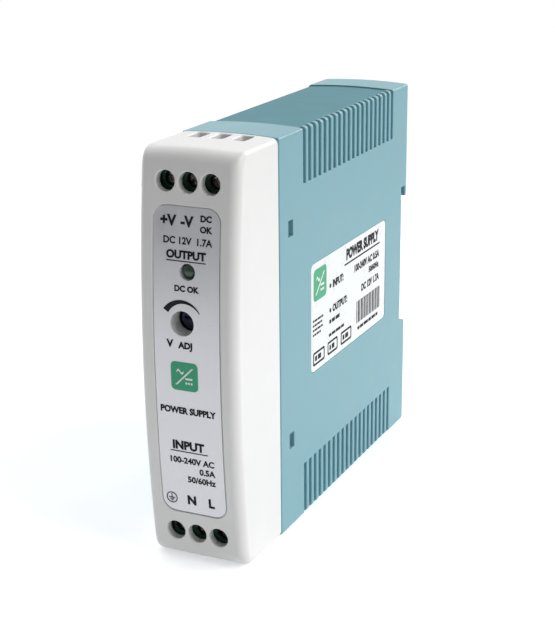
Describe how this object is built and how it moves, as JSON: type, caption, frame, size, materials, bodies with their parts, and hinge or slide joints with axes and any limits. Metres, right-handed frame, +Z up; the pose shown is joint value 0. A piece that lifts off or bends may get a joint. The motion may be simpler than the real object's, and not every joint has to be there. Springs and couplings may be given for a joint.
{
  "type": "din rail power supply",
  "caption": "Slim clip-on power supply for a 35 mm rail: a white bowed front with screw terminals at both ends, on a teal ribbed housing with a spring latch behind.",
  "frame": {"origin": "centre of the casing's footprint, on the surface it stands on", "axes": "+X to the right seen from the front, +Y from the front face to the rail side, +Z up"},
  "size_m": [0.0226, 0.1, 0.09],
  "materials": {
    "housing": "fine matt moulded teal plastic",
    "cover": "satin moulded white plastic",
    "front_label": "silver grey printed film",
    "side_label": "white printed film",
    "latch": "black moulded plastic",
    "spring_steel": "bright spring wire",
    "insulation": "translucent insulating film",
    "circuit_board": "green solder mask on laminate",
    "terminal_body": "blackish green moulded plastic",
    "lens": "dark green clear plastic",
    "led": "clear resin",
    "trimmer": "blue moulded plastic",
    "trimmer_rotor": "black moulded plastic",
    "header": "black header with tinned pins",
    "ferrite": "dark grey ferrite",
    "component_black": "black moulding compound",
    "winding_tape": "yellow polyester tape",
    "capacitor_sleeve": "shrink sleeve over an aluminium can",
    "film_capacitor": "yellow box",
    "disc_blue": "blue dipped coating",
    "disc_green": "dark green dipped coating",
    "enamelled_wire": "copper wire with clear enamel",
    "fuse": "brown moulded case",
    "heatsink": "plain milled sheet",
    "screw_steel": "zinc plated",
    "cage_steel": "zinc plated",
    "contact_metal": "tinned copper"
  },
  "bodies": {
    "casing": {"housing_shell": "housing", "front_cover": "cover", "front_label": "front_label", "side_label": "side_label", "latch_spring": "spring_steel", "insulation_sheet": "insulation", "main_board": "circuit_board", "front_board": "circuit_board", "output_terminal_block": "terminal_body", "input_terminal_block": "terminal_body", "led_light_pipe": "lens", "status_led": "led", "trimmer_body": "trimmer", "link_header_input": "header", "link_header_output": "header", "transformer_core_lower": "ferrite", "transformer_core_upper": "ferrite", "transformer_bobbin": "component_black", "transformer_winding": "winding_tape", "bulk_capacitor": "capacitor_sleeve", "output_capacitor_1": "capacitor_sleeve", "output_capacitor_2": "capacitor_sleeve", "x_capacitor": "film_capacitor", "y_capacitor": "disc_blue", "varistor": "disc_blue", "inrush_thermistor": "disc_green", "choke_core": "ferrite", "choke_winding_1": "enamelled_wire", "choke_winding_2": "enamelled_wire", "fuse": "fuse", "bridge_rectifier": "component_black", "switching_transistor": "component_black", "output_rectifier": "component_black", "primary_heatsink": "heatsink", "secondary_heatsink": "heatsink", "primary_heatsink_screw": "screw_steel", "secondary_heatsink_screw": "screw_steel", "output_inductor": "ferrite", "optocoupler": "component_black", "controller_ic": "component_black", "contact_output_plus": "contact_metal", "contact_output_minus": "contact_metal", "contact_output_dc_ok": "contact_metal", "contact_input_earth": "contact_metal", "contact_input_neutral": "contact_metal", "contact_input_line": "contact_metal"},
    "cage_input_earth": {"cage_input_earth": "cage_steel"},
    "cage_input_line": {"cage_input_line": "cage_steel"},
    "cage_input_neutral": {"cage_input_neutral": "cage_steel"},
    "cage_output_dc_ok": {"cage_output_dc_ok": "cage_steel"},
    "cage_output_minus": {"cage_output_minus": "cage_steel"},
    "cage_output_plus": {"cage_output_plus": "cage_steel"},
    "din_latch": {"din_latch": "latch"},
    "screw_input_earth": {"screw_input_earth": "screw_steel"},
    "screw_input_line": {"screw_input_line": "screw_steel"},
    "screw_input_neutral": {"screw_input_neutral": "screw_steel"},
    "screw_output_dc_ok": {"screw_output_dc_ok": "screw_steel"},
    "screw_output_minus": {"screw_output_minus": "screw_steel"},
    "screw_output_plus": {"screw_output_plus": "screw_steel"},
    "trimmer_rotor": {"trimmer_rotor": "trimmer_rotor"}
  },
  "joints": [
    {"name": "latch_slide", "type": "slide", "parent": "casing", "child": "din_latch", "axis": [0, 0, -1], "range_m": [0, 0.004], "stiffness_N_per_m": 900, "springref_m": -0.003, "deforming": ["latch_spring"]},
    {"name": "trimmer_turn", "type": "hinge", "parent": "casing", "child": "trimmer_rotor", "pos_m": [-0.001, -0.0395, 0.0544], "axis": [0, 1, 0], "range_deg": [-130, 130]},
    {"name": "screw_turn_output_plus", "type": "hinge", "parent": "casing", "child": "screw_output_plus", "pos_m": [-0.00508, -0.0442, 0.0832], "axis": [0, 1, 0], "range_deg": [0, 2160]},
    {"name": "cage_slide_output_plus", "type": "slide", "parent": "casing", "child": "cage_output_plus", "axis": [0, -1, 0], "range_m": [0, 0.003]},
    {"name": "screw_turn_output_minus", "type": "hinge", "parent": "casing", "child": "screw_output_minus", "pos_m": [0, -0.0442, 0.0832], "axis": [0, 1, 0], "range_deg": [0, 2160]},
    {"name": "cage_slide_output_minus", "type": "slide", "parent": "casing", "child": "cage_output_minus", "axis": [0, -1, 0], "range_m": [0, 0.003]},
    {"name": "screw_turn_output_dc_ok", "type": "hinge", "parent": "casing", "child": "screw_output_dc_ok", "pos_m": [0.00508, -0.0442, 0.0832], "axis": [0, 1, 0], "range_deg": [0, 2160]},
    {"name": "cage_slide_output_dc_ok", "type": "slide", "parent": "casing", "child": "cage_output_dc_ok", "axis": [0, -1, 0], "range_m": [0, 0.003]},
    {"name": "screw_turn_input_earth", "type": "hinge", "parent": "casing", "child": "screw_input_earth", "pos_m": [-0.00508, -0.0442, 0.0068], "axis": [0, 1, 0], "range_deg": [0, 2160]},
    {"name": "cage_slide_input_earth", "type": "slide", "parent": "casing", "child": "cage_input_earth", "axis": [0, -1, 0], "range_m": [0, 0.003]},
    {"name": "screw_turn_input_neutral", "type": "hinge", "parent": "casing", "child": "screw_input_neutral", "pos_m": [0, -0.0442, 0.0068], "axis": [0, 1, 0], "range_deg": [0, 2160]},
    {"name": "cage_slide_input_neutral", "type": "slide", "parent": "casing", "child": "cage_input_neutral", "axis": [0, -1, 0], "range_m": [0, 0.003]},
    {"name": "screw_turn_input_line", "type": "hinge", "parent": "casing", "child": "screw_input_line", "pos_m": [0.00508, -0.0442, 0.0068], "axis": [0, 1, 0], "range_deg": [0, 2160]},
    {"name": "cage_slide_input_line", "type": "slide", "parent": "casing", "child": "cage_input_line", "axis": [0, -1, 0], "range_m": [0, 0.003]}
  ],
  "couplings": [
    {"joint": "screw_turn_output_plus", "follows": "cage_slide_output_plus", "rad_per_m": 12566},
    {"joint": "screw_turn_output_minus", "follows": "cage_slide_output_minus", "rad_per_m": 12566},
    {"joint": "screw_turn_output_dc_ok", "follows": "cage_slide_output_dc_ok", "rad_per_m": 12566},
    {"joint": "screw_turn_input_earth", "follows": "cage_slide_input_earth", "rad_per_m": 12566},
    {"joint": "screw_turn_input_neutral", "follows": "cage_slide_input_neutral", "rad_per_m": 12566},
    {"joint": "screw_turn_input_line", "follows": "cage_slide_input_line", "rad_per_m": 12566}
  ]
}
